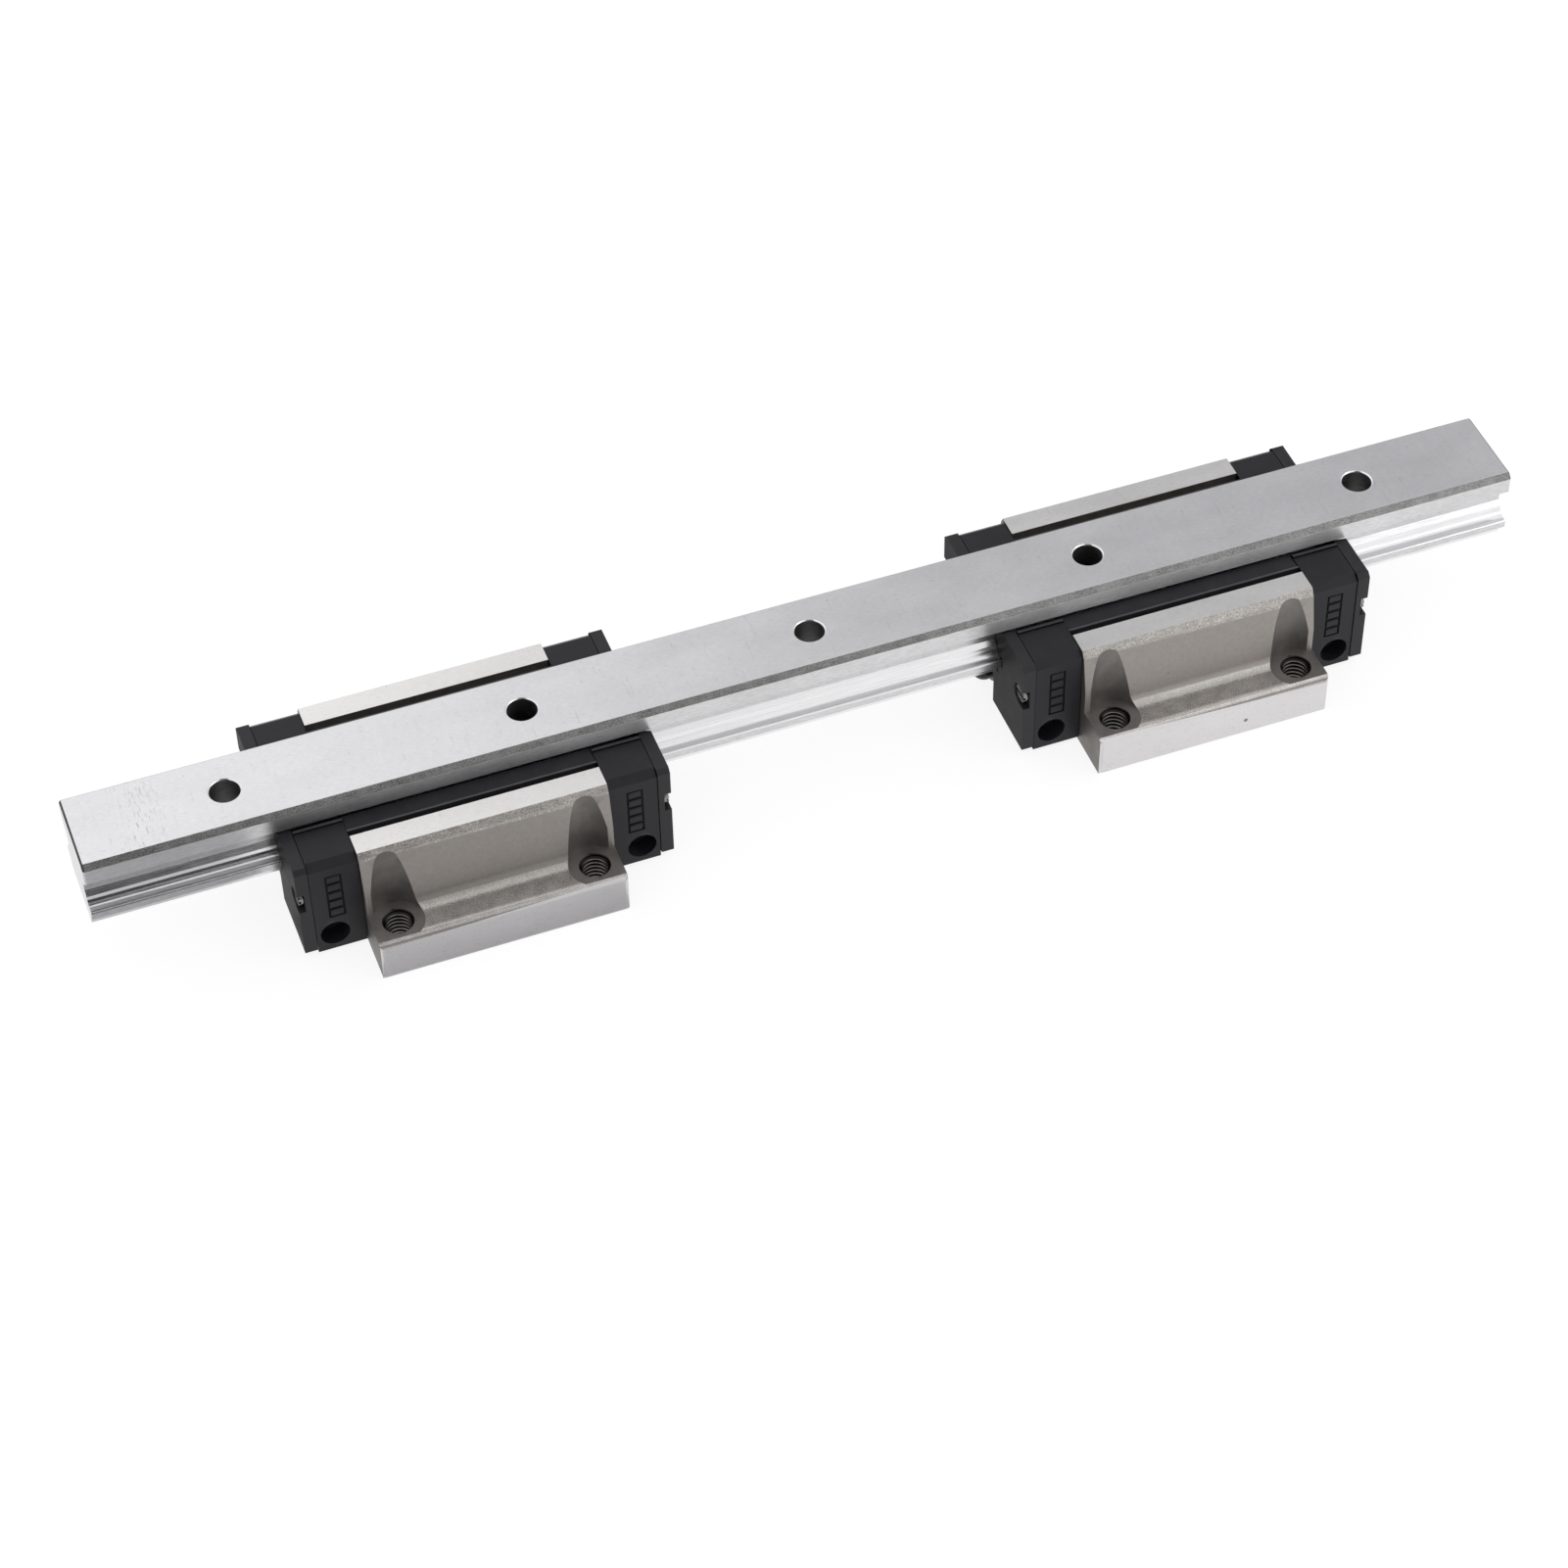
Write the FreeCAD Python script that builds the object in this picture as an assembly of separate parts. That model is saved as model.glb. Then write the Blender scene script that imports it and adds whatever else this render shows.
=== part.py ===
"""Profile linear guide: a steel rail with two flanged carriages, lying upside down.

Millimetres. X runs along the rail, Y across it, Z up. The guide rests on the mounting
faces of its two carriages (Z = 0), so the ground base face of the rail looks up.
"""
import FreeCAD, Part
import math
import os

V = FreeCAD.Vector

# Guide as a whole
guide_height = 30.0             # mounting face of the carriage to base face of the rail
left_carriage_from_end = 75.6   # from the rail's end to the carriage's middle, as stored
right_carriage_from_end = 75.1

# Rail
rail_length = 301.0
rail_width = 20.0
rail_height = 17.5
rail_base_chamfer = 1.1
rail_base_side = 4.6            # height of the straight side above the base face
rail_waist_width = 12.6
rail_waist_low = 8.2            # heights of the waist above the base face
rail_waist_high = 9.9
rail_head_low = 13.0            # where the sloping underside of the head meets its side
rail_end_chamfer = 0.4
rail_hole_pitch = 60.0
rail_hole_end = 30.5            # from the rail's end to its first hole
rail_hole_d = 6.0
rail_counterbore_d = 9.5
rail_counterbore_depth = 8.5
rail_hole_edge = 0.25           # broken edge at each hole mouth

# Balls and raceways, heights above the rail's base face
ball_d = 3.969
race_conformity = 0.52          # groove radius over ball diameter
upper_row_y = 9.75
upper_row_height = 16.6
lower_row_y = 9.4
lower_row_height = 10.75
return_hole_y = 15.6
return_hole_clearance = 0.2

# Carriage block
block_length = 50.5
block_width = 63.0
block_under_gap = 4.8           # from the block's underside to the rail's base face
flange_thickness = 9.9
flange_side_height = 8.35       # ground part of the flange's side face
flange_roll = 0.8               # how far the rough forged edge sets back
flange_roll_r = 0.7
flange_corner_r = 0.8
mount_edge = 0.45               # broken edge round the mounting face
wall_base_half = 24.1           # half width of the body at the flange
wall_top_half = 21.6            # half width of the body under its rough corner
wall_corner_drop = 1.5
wall_corner_r = 1.3
wall_fillet_r = 2.6
ground_outer = 20.7             # ground strips on the block's underside
ground_inner = 15.8
strip_rebate = 2.0              # depth of the rebate that holds the retainer strip
channel_half = 10.6             # inside faces of the block beside the rail's head
channel_roof_gap = 0.6          # between the rail's head and the block
shelf_half = 9.3                # the block reaches under the rail's head this far
shelf_height = 9.0
shelf_low = 7.9

# Mounting holes of the block
mount_end = 5.25                # from the block's end to the holes' axes
mount_side = 5.0                # from the flange's side to the holes' axes
mount_thread_d = 6.0
mount_mouth_d = 6.3
spot_thickness = 9.8            # flange thickness left under the spot faces
spot_r = 5.25                   # cutter radius of the spot face and its relief in the wall
end_relief_half = 23.1          # wall plane milled from each hole to the block's end

# End caps
cap_length = 10.0
cap_bottom = 0.9                # height of the cap above the mounting face
cap_panel_step = 0.3            # the cap's top panels lie this far below the ground strips
cap_ridge = 0.35                # height of the ridges between the panels and the rail
cap_ridge_outer = 11.4
cap_half = 21.1
cap_corner_r = 0.4
cap_bevel_width = 1.65          # bevel between the cap's top and its side
cap_bevel_height = 1.35
cap_rail_gap = 0.7
side_port_d = 5.9
side_port_depth = 4.0
side_port_height = 5.4
side_port_inset = 6.2           # from the block's end face to the port's axis
label_inset = 5.25              # from the block's end face to the middle of the label field
label_width = 3.4
label_height = 11.6
label_middle = 15.7
label_depth = 0.3
label_bars = 5
label_bar_gap = 0.9
grease_bore_d = 5.4
grease_bore_depth = 7.0
turn_clearance = 0.15

# End seals
seal_length = 2.65
seal_proud = 0.15               # the seal stands this far outside the cap
seal_bottom = 2.1
seal_bevel = 0.9
seal_rail_gap = 0.3
seal_notch_half = 6.0           # notch round the grease port
seal_notch_r = 1.0
seal_web = 2.9                  # from the notch to the rail's head

# Screws through seal and cap into the block
screw_y = 18.8
screw_height = 16.0
screw_head_d = 3.8
screw_head_height = 1.1
screw_shank_d = 2.4
screw_grip = 8.0
screw_clearance = 0.15
screw_pocket_gap = 0.4
screw_pocket_depth = 1.4
screw_slot_width = 0.6
screw_slot_depth = 0.5

# Retainer strips
strip_thickness = 1.5
strip_side_gap = 1.6            # open groove between the strip and the ground strip
strip_lip_width = 0.5
strip_lip_height = 0.2
strip_rail_gap = 0.4
strip_hook = 0.6

# Grease plug
plug_flange_d = 6.6
plug_flange_length = 1.2
plug_dome_d = 5.4
plug_length = 5.0               # whole head, from the cap's face to the top of the dome
plug_shank_length = 5.0
plug_clearance = 0.1
plug_notch_gap = 0.3            # from the plug's flange to the top of the seal's notch

# Derived sizes
race_r = ball_d * race_conformity
return_hole_r = ball_d / 2 + return_hole_clearance
block_top = guide_height - block_under_gap
panel_top = block_top - cap_panel_step
rail_top = guide_height - rail_height
strip_seat = block_top - strip_rebate
notch_top = rail_top - seal_web
grease_height = notch_top - plug_notch_gap - plug_flange_d / 2
mount_pitch_x = block_length - 2 * mount_end
mount_pitch_y = block_width - 2 * mount_side
shelf_corner = shelf_half + strip_seat - (guide_height - shelf_low)
hole_count = int(round((rail_length - 2 * rail_hole_end) / rail_hole_pitch)) + 1
block_end = block_length / 2
cap_end = block_end + cap_length
seal_end = cap_end + seal_length
left_carriage_x = left_carriage_from_end - rail_length / 2
right_carriage_x = rail_length / 2 - right_carriage_from_end


def face_from(corners, x):
    """A face across the rail at x from (y, z, radius) corners; radius 0 is a sharp corner."""
    points = [V(x, y, z) for y, z, _ in corners]
    starts = []
    tops = []
    ends = []
    for i, (_, _, radius) in enumerate(corners):
        here = points[i]
        back = (points[i - 1] - here).normalize()
        ahead = (points[(i + 1) % len(points)] - here).normalize()
        half = back.getAngle(ahead) / 2
        reach = radius / math.tan(half)
        starts.append(here + back * reach)
        tops.append(here + (back + ahead).normalize() * (radius / math.sin(half) - radius))
        ends.append(here + ahead * reach)
    edges = []
    for i, (_, _, radius) in enumerate(corners):
        if radius > 0:
            edges.append(Part.Arc(starts[i], tops[i], ends[i]).toShape())
        edges.append(Part.LineSegment(ends[i], starts[(i + 1) % len(points)]).toShape())
    return Part.Face(Part.Wire(edges))


def both_sides(corners):
    """Corners of one side, then the same corners mirrored, back to the start."""
    return corners + [(-y, z, radius) for y, z, radius in reversed(corners)]


def across(corners, start, length):
    """Solid with a symmetrical section, from start along the rail."""
    return face_from(both_sides(corners), start).extrude(V(length, 0, 0))


def cylinder(radius, length, start, axis):
    return Part.makeCylinder(radius, length, start, axis)


def above_base(height):
    """Z of a height that is measured from the rail's base face."""
    return guide_height - height


def rail_section(x):
    """Section of the rail at x, without its raceways."""
    half = rail_width / 2
    waist = rail_waist_width / 2
    corners = [
        (half - rail_base_chamfer, guide_height, 0),
        (half, guide_height - rail_base_chamfer, 0),
        (half, above_base(rail_base_side), 0),
        (waist, above_base(rail_waist_low), 0),
        (waist, above_base(rail_waist_high), 0),
        (half, above_base(rail_head_low), 0),
        (half, rail_top, 0),
    ]
    return face_from(both_sides(corners), x)


def rail_space(gap, start, length):
    """The rail's section grown by a running gap, as a tool that opens seals and caps."""
    return rail_section(start).makeOffset2D(gap, 2).extrude(V(length, 0, 0))


def raceways(radius, start, length):
    """Cylinders on the four ball rows."""
    rows = []
    for side in (-1, 1):
        for y, height in ((upper_row_y, upper_row_height), (lower_row_y, lower_row_height)):
            rows.append(cylinder(radius, length, V(start, side * y, above_base(height)), V(1, 0, 0)))
    return rows


def make_rail():
    start = -rail_length / 2
    rail = rail_section(start).extrude(V(rail_length, 0, 0))
    rail = rail.cut(raceways(race_r, start - 1, rail_length + 2))
    end_faces = [f for f in rail.Faces if abs(abs(f.CenterOfMass.x) - rail_length / 2) < 1e-6]
    base_edges = []
    for face in end_faces:
        for edge in face.Edges:
            if edge.BoundBox.ZMin > above_base(rail_base_side) - 1e-6:
                base_edges.append(edge)
    rail = rail.makeChamfer(rail_end_chamfer, base_edges)
    radius = rail_hole_d / 2
    wide = rail_counterbore_d / 2
    for i in range(hole_count):
        x = start + rail_hole_end + i * rail_hole_pitch
        bore = cylinder(radius, rail_height + 2, V(x, 0, rail_top - 1), V(0, 0, 1))
        counter = cylinder(wide, rail_counterbore_depth + 1, V(x, 0, rail_top - 1), V(0, 0, 1))
        mouth = Part.makeCone(radius, radius + rail_hole_edge, rail_hole_edge,
                              V(x, 0, guide_height - rail_hole_edge), V(0, 0, 1))
        rail = rail.cut([bore, counter, mouth])
    return rail


def block_section():
    """Outer half section of the block, from the mounting face up to the ground strip."""
    half = block_width / 2
    return [
        (half - mount_edge, 0, 0),
        (half, mount_edge, 0),
        (half, flange_side_height, 0),
        (half - flange_roll, flange_thickness, flange_roll_r),
        (wall_base_half, flange_thickness, wall_fillet_r),
        (wall_top_half, block_top - wall_corner_drop, wall_corner_r),
        (ground_outer, block_top, 0),
        (ground_inner, block_top, 0),
        (ground_inner, strip_seat, 0),
        (shelf_corner, strip_seat, 0),
        (shelf_half, above_base(shelf_low), 0),
        (shelf_half, above_base(shelf_height), 0),
        (channel_half, above_base(shelf_height + channel_half - shelf_half), 0),
        (channel_half, rail_top - channel_roof_gap, 0),
    ]


def make_block(x):
    start = x - block_end
    block = across(block_section(), start, block_length)
    corner_edges = []
    for edge in block.Edges:
        box_of = edge.BoundBox
        at_side = abs(abs(edge.CenterOfMass.y) - block_width / 2) < 1e-6
        if at_side and box_of.XLength < 1e-6 and box_of.ZLength > 1:
            corner_edges.append(edge)
    block = block.makeFillet(flange_corner_r, corner_edges)
    tools = raceways(race_r, start - 1, block_length + 2)
    for side in (-1, 1):
        for height in (upper_row_height, lower_row_height):
            centre = V(start - 1, side * return_hole_y, above_base(height))
            tools.append(cylinder(return_hole_r, block_length + 2, centre, V(1, 0, 0)))
        for end in (-1, 1):
            tools += mount_tools(x + end * mount_pitch_x / 2, side * mount_pitch_y / 2)
            tools.append(end_relief(x, end, side))
            centre = V(x + end * (block_end + 1), side * screw_y, screw_height)
            radius = screw_shank_d / 2 + screw_clearance
            tools.append(cylinder(radius, screw_grip + 2, centre, V(-end, 0, 0)))
    return block.cut(tools)


def mount_tools(x, y):
    """Threaded hole with its broken edges, and the spot face cut into the wall."""
    radius = mount_thread_d / 2
    mouth = mount_mouth_d / 2 - radius
    through = cylinder(radius, flange_thickness + 2, V(x, y, -1), V(0, 0, 1))
    spot = cylinder(spot_r, block_top, V(x, y, spot_thickness), V(0, 0, 1))
    upper = Part.makeCone(radius, radius + mouth, mouth, V(x, y, spot_thickness - mouth), V(0, 0, 1))
    lower = Part.makeCone(radius + mouth, radius, mouth, V(x, y, 0), V(0, 0, 1))
    return [through, spot, upper, lower]


def span(x_from, x_to):
    """Start and length of a stretch along X, whichever way it is given."""
    return min(x_from, x_to), abs(x_to - x_from)


def end_relief(x, end, side):
    """Milled step from the mounting holes to the block's end, level with the spot faces."""
    start, length = span(x + end * mount_pitch_x / 2, x + end * (block_end + 1))
    width = block_width / 2 + 1 - end_relief_half
    near = min(side * end_relief_half, side * (end_relief_half + width))
    return Part.makeBox(length, width, block_top, V(start, near, spot_thickness))


def turn_pocket(face_x, end, side, row_y, height):
    """Half ring, square in section, that leads the balls from a raceway to its return hole."""
    ring_r = (return_hole_y - row_y) / 2
    radius = ball_d / 2 + return_hole_clearance + turn_clearance
    centre = V(face_x, side * (row_y + ring_r), above_base(height) - radius)
    ring = cylinder(ring_r + radius, 2 * radius, centre, V(0, 0, 1))
    if ring_r > radius:
        ring = ring.cut(cylinder(ring_r - radius, 2 * radius, centre, V(0, 0, 1)))
    reach = ring_r + radius + 1
    start, length = span(face_x, face_x + end * reach)
    return ring.common(Part.makeBox(length, 2 * reach, 2 * reach, V(start, centre.y - reach, centre.z - 1)))


def label_tools(x, side):
    """Recessed label field of a cap's side face, with plain raised bars left standing."""
    near = min(side * cap_half, side * (cap_half - label_depth))
    low = V(x - label_width / 2, near, label_middle - label_height / 2)
    field = Part.makeBox(label_width, label_depth, label_height, low)
    pitch = label_height / label_bars
    bars = []
    for i in range(label_bars):
        z = low.z + i * pitch + label_bar_gap / 2
        start = V(low.x + label_bar_gap / 2, low.y, z)
        bars.append(Part.makeBox(label_width - label_bar_gap, label_depth, pitch - label_bar_gap, start))
    return field.cut(bars)


def make_cap(x, end, has_port):
    """End cap on the end (-1 or 1) of the carriage at x."""
    inner = x + end * block_end
    outer = x + end * cap_end
    start, length = span(inner, outer)
    cap = across([
        (cap_half, cap_bottom, cap_corner_r),
        (cap_half, panel_top - cap_bevel_height, 0),
        (cap_half - cap_bevel_width, panel_top, 0),
        (cap_ridge_outer, panel_top, 0),
        (cap_ridge_outer, panel_top + cap_ridge, 0),
    ], start, length)
    tools = [rail_space(cap_rail_gap, start - 1, length + 2)]
    for side in (-1, 1):
        port = V(inner + end * side_port_inset, side * (cap_half + 1), side_port_height)
        tools.append(cylinder(side_port_d / 2, side_port_depth + 1, port, V(0, -side, 0)))
        for row_y, height in ((upper_row_y, upper_row_height), (lower_row_y, lower_row_height)):
            tools.append(turn_pocket(inner, end, side, row_y, height))
        hole = V(outer + end, side * screw_y, screw_height)
        radius = screw_shank_d / 2 + screw_clearance
        tools.append(cylinder(radius, cap_length + 2, hole, V(-end, 0, 0)))
        tools.append(label_tools(inner + end * label_inset, side))
    if has_port:
        bore = V(outer + end, 0, grease_height)
        tools.append(cylinder(grease_bore_d / 2, grease_bore_depth + 1, bore, V(-end, 0, 0)))
    return cap.cut(tools)


def make_seal(x, end):
    """End seal plate outside a cap, with a lip that follows the rail's whole section."""
    inner = x + end * cap_end
    outer = x + end * seal_end
    start, length = span(inner, outer)
    half = cap_half + seal_proud
    seal = across([
        (half, seal_bottom, 0),
        (half, panel_top - seal_bevel, 0),
        (half - seal_bevel, panel_top, 0),
    ], start, length)
    opening = rail_space(seal_rail_gap, start - 1, length + 2)
    opening = opening.cut(raceways(race_r - seal_rail_gap, start - 1, length + 2))
    notch = across([
        (seal_notch_half, seal_bottom - 1, 0),
        (seal_notch_half, notch_top, seal_notch_r),
    ], start - 1, length + 2)
    tools = [opening, notch]
    pocket_r = screw_head_d / 2 + screw_pocket_gap
    for side in (-1, 1):
        centre = V(outer + end, side * screw_y, screw_height)
        tools.append(cylinder(pocket_r, screw_pocket_depth + 1, centre, V(-end, 0, 0)))
        radius = screw_shank_d / 2 + screw_clearance
        tools.append(cylinder(radius, length + 2, centre, V(-end, 0, 0)))
        pocket_start, pocket_length = span(outer + end, outer - end * screw_pocket_depth)
        low = V(pocket_start, min(side * screw_y, side * (screw_y + half)), screw_height - pocket_r)
        tools.append(Part.makeBox(pocket_length, half, 2 * pocket_r, low))
    return seal.cut(tools)


def make_strip(x, side):
    """Retainer strip in the rebate beside the rail, between the two caps."""
    top = strip_seat + strip_thickness
    outer = ground_inner - strip_side_gap
    fall = (rail_width - rail_waist_width) / 2 / (rail_waist_low - rail_base_side)
    rail_y = rail_width / 2 - fall * (above_base(rail_base_side) - top)
    inner = rail_y + strip_rail_gap * math.hypot(1, fall)
    corners = [
        (shelf_corner, strip_seat, 0),
        (outer, strip_seat, 0),
        (outer, top + strip_lip_height, 0),
        (outer - strip_lip_width, top + strip_lip_height, 0),
        (outer - strip_lip_width, top, 0),
        (inner, top, 0),
        (inner - strip_hook, strip_seat - strip_hook, 0),
        (shelf_corner - strip_hook, strip_seat - strip_hook, 0),
    ]
    corners = [(side * y, z, radius) for y, z, radius in corners]
    return face_from(corners, x - block_end).extrude(V(block_length, 0, 0))


def make_screws(x):
    """The four screws that hold the seals and caps of one carriage."""
    screws = []
    for end in (-1, 1):
        seat = x + end * (seal_end - screw_pocket_depth)
        for side in (-1, 1):
            under_head = V(seat, side * screw_y, screw_height)
            head = cylinder(screw_head_d / 2, screw_head_height, under_head, V(end, 0, 0))
            tip = seal_end - screw_pocket_depth - block_end + screw_grip
            shank = cylinder(screw_shank_d / 2, tip, under_head, V(-end, 0, 0))
            slot_start, slot_length = span(seat + end * (screw_head_height - screw_slot_depth),
                                           seat + end * (screw_head_height + 1))
            slot = Part.makeBox(slot_length, screw_head_d, screw_slot_width,
                                V(slot_start, under_head.y - screw_head_d / 2,
                                  screw_height - screw_slot_width / 2))
            screws.append(head.fuse(shank).cut(slot).removeSplitter())
    return Part.makeCompound(screws)


def make_plug(x, end):
    """Domed plug in the grease port, turned about the port's axis."""
    seat = x + end * cap_end
    shank_r = grease_bore_d / 2 - plug_clearance
    dome_r = plug_dome_d / 2
    neck = seat + end * (plug_length - dome_r)
    profile = [
        V(seat - end * plug_shank_length, 0, grease_height),
        V(seat - end * plug_shank_length, 0, grease_height + shank_r),
        V(seat, 0, grease_height + shank_r),
        V(seat, 0, grease_height + plug_flange_d / 2),
        V(seat + end * plug_flange_length, 0, grease_height + plug_flange_d / 2),
        V(seat + end * plug_flange_length, 0, grease_height + dome_r),
        V(neck, 0, grease_height + dome_r),
    ]
    crown = V(neck + end * dome_r, 0, grease_height)
    bulge = V(neck + end * dome_r * math.cos(math.pi / 4), 0, grease_height + dome_r * math.sin(math.pi / 4))
    edges = []
    for a, b in zip(profile, profile[1:]):
        edges.append(Part.LineSegment(a, b).toShape())
    edges.append(Part.Arc(profile[-1], bulge, crown).toShape())
    edges.append(Part.LineSegment(crown, profile[0]).toShape())
    face = Part.Face(Part.Wire(edges))
    return face.revolve(V(seat, 0, grease_height), V(1, 0, 0), 360)


def make_carriage(name, x, port_end):
    """All pieces of one carriage, by node name."""
    pieces = {name + "_block": make_block(x)}
    for end, place in ((-1, "left"), (1, "right")):
        pieces[name + "_" + place + "_cap"] = make_cap(x, end, end == port_end)
        pieces[name + "_" + place + "_seal"] = make_seal(x, end)
    pieces[name + "_front_strip"] = make_strip(x, -1)
    pieces[name + "_back_strip"] = make_strip(x, 1)
    pieces[name + "_screws"] = make_screws(x)
    pieces[name + "_grease_plug"] = make_plug(x, port_end)
    return pieces


nodes = {"guide_rail": make_rail()}
nodes.update(make_carriage("left_carriage", left_carriage_x, 1))
nodes.update(make_carriage("right_carriage", right_carriage_x, -1))

os.makedirs("parts", exist_ok=True)
for node, shape in nodes.items():
    shape.exportStep("parts/" + node + ".step")
    print(node, "valid", shape.isValid(), "solids", len(shape.Solids), "volume", round(shape.Volume, 1))
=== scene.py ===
"""Looks of a profile linear guide: ground rail, forged flanged carriages, black end caps and seals.

Metres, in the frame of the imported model: X along the rail, Y across it, Z up. The names in
capitals that give sizes of the guide are in millimetres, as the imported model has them.
"""
import math

import bmesh
import bpy
from mathutils import Matrix, Vector


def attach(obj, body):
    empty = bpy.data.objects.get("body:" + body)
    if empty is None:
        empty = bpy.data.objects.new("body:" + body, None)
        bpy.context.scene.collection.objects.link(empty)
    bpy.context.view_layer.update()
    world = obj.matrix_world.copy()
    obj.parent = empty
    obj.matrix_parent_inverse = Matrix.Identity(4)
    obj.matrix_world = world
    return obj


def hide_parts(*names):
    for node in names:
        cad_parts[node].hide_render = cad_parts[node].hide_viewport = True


MM = 0.001

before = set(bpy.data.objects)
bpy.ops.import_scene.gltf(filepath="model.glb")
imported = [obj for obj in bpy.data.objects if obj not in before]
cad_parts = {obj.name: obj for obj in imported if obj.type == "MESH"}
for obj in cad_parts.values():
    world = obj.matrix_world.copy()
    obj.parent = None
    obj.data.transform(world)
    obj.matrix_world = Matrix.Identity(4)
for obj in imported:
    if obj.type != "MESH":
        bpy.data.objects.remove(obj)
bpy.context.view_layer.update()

# Rail
GUIDE_HEIGHT = 30.0         # height of the rail's base face, which looks up
RAIL_BEVEL = 1.1            # height of the rough chamfers beside the base face
HOLE_PITCH = 60.0
COUNTERBORE_R = 4.75
RACE_R = 2.064              # radius of the ball grooves
RACE_ROWS = ((9.75, 13.4), (9.4, 19.25))    # places of the grooves' axes, across and up
HEAD_TOP = 20.2             # the rail's head with its ball grooves lies below this
WORN_X = -137.0             # middle of the stroke marks on the base face
WORN_REACH = 8.0            # how far they reach along the rail

# Carriages, lengths from a carriage's own middle
CARRIAGE_X = {"left_carriage": -74.9, "right_carriage": 75.4}
BLOCK_END = 25.25           # joint between block and end cap
CAP_END = 35.25             # joint between end cap and seal
SEAL_END = 37.9             # outer face of the seal
JOINT_GAP = 0.07            # how far a piece is drawn in at a joint

# Block, heights and distances across
BLOCK_TOP = 25.2            # ground strips beside the rail
GROUND_OUTER = 20.7         # outer edge of the ground strips
FLANGE_HALF = 31.5          # half the width over the flanges
FLANGE_TOP = 9.9
SIDE_TOP = 8.8              # outer faces below this belong to the flange's ground side
BAND_INNER = 29.9           # faces further out belong to the flange's rough edge
BAND_LINE = 8.95            # height of the dark line where that edge meets the ground side
FILLET_TOP = 10.8           # faces between the flange and this belong to the wall's fillet
CORNER_LOW = 23.2           # faces above this belong to the wall's rough corner
RELIEF_HALF = 23.1          # wall plane milled from each hole to the block's end
DENT_AT = (82.4, -31.5, 3.85)   # small dent in the right flange's side, shown as a painted dark spot (painted shade)

# Mounting holes of the block, with their threads
MOUNT_X = 20.0              # from the carriage's middle to the holes' axes
MOUNT_Y = 26.5
SPOT_R = 5.25               # cutter radius of the spot face and its relief in the wall
SPOT_Z = 9.8                # height of the spot faces
THREAD_R = 3.0
THREAD_PITCH = 1.0
THREAD_DEPTH = 0.56
THREAD_STEPS = 40           # steps of the ridge in one turn
THREAD_LOW = 0.55           # height of the ridge's lower end
THREAD_HIGH = SPOT_Z - 0.45     # height of its upper end
RIDGE_FOOT = 0.44           # half the ridge's width at the wall, in pitches
RIDGE_CREST = 0.08          # half its width at the crest, in pitches
RIDGE_SINK = 0.02           # how deep the ridge's foot lies in the hole's wall

# End caps and retainer strips, heights and distances across
PANEL_TOP = 24.9            # the cap's top panels
RIDGE_OUTER = 11.4          # outer side of the cap's ridges beside the rail
LABEL_FLOOR = 20.8          # floor of the sunk label field
STRIP_TOP = 24.7            # top of the strip, under its raised lip
STRIP_OUTER = 14.2          # outer side of the lip and the strip
STRIP_LIP = 13.7            # inner side of the lip

# Widths of the broken edges, by the kind of piece
EDGE = {"rail": 0.16, "block": 0.12, "cap": 0.12, "seal": 0.12, "strip": 0.08,
        "screws": 0.14, "plug": 0.10}
BREAK_ANGLE = 32.0          # edges sharper than this, in degrees, are broken
SMOOTH_ANGLE = 50.0         # edges sharper than this stay sharp in the shading
RIDGE_SMOOTH_ANGLE = 35.0   # the same for the thread ridges
MERGE = 0.002               # corners closer than this are one corner

SQUARE = 0.9                # a face whose normal has more than this along an axis is square to it

# Photograph's camera, fitted to the holes and edges of the guide
CAMERA_AT = (-0.19748, -0.54457, 0.60193)
CAMERA_TARGET = (-0.014595, -0.02408, 0.015)
CAMERA_ROLL = -1.384
CAMERA_LENS = 94.03
CAMERA_REACH = 20.0
SENSOR = 36.0

# Studio, in metres and watts
FLOOR_REACH = 3.0           # the floor's half width
SHADOW_SHARE = 0.20         # part of the floor's white that a shadow takes away
FLOOR_GLOW = 0.86           # the part that stays
SKY_LIGHT = 0.80            # strength of the world's light on the object

# Cards that only reflections see: name, cloth, place, point that it faces, width and height
CARDS = (
    ("dark_card", "dark_cloth", (-0.37, -0.64, 1.01), (-0.37, 0, 1.01), (0.86, 0.78)),
    ("end_card", "dark_cloth", (-0.20, -0.20, 0.065), (-0.20, 0, 0.065), (0.25, 0.13)),
    ("low_card", "mid_grey_cloth", (-0.37, -0.64, 0.31), (-0.37, 0, 0.31), (0.86, 0.62)),
    ("grey_card", "grey_cloth", (0.89, 0.70, 0.75), (0.89, 0, 0.02), (1.3, 1.0)),
    # The two grey sheets on the floor are painted shade: only reflections see them, and they darken
    # the floor in front of the rail's left end and the left block.
    ("end_floor_shade", "floor_shade_grey", (-0.285, -0.165, 0.0006), (-0.285, -0.165, 1), (0.34, 0.31)),
    ("side_floor_shade", "floor_shade_grey", (-0.075, -0.039, 0.0006), (-0.075, -0.039, 1), (0.056, 0.016)),
)

# Darkest and lightest grey of each cloth, and of the grey sheets that paint shade on the floor
CLOTHS = {"dark_cloth": (0.03, 0.05), "grey_cloth": (0.88, 0.94),
          "mid_grey_cloth": (0.30, 0.36), "floor_shade_grey": (0.75, 0.80)}

# Lamps: name, place, point that it faces, width and height, power
LAMPS = (
    ("back_left_softbox", (-0.24, 0.76, 0.86), (-0.05, 0, 0.02), (0.8, 0.6), 0.64),
    ("right_softbox", (0.85, -0.62, 0.55), (0.05, 0, 0.02), (0.6, 0.5), 1.6),
)

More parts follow.
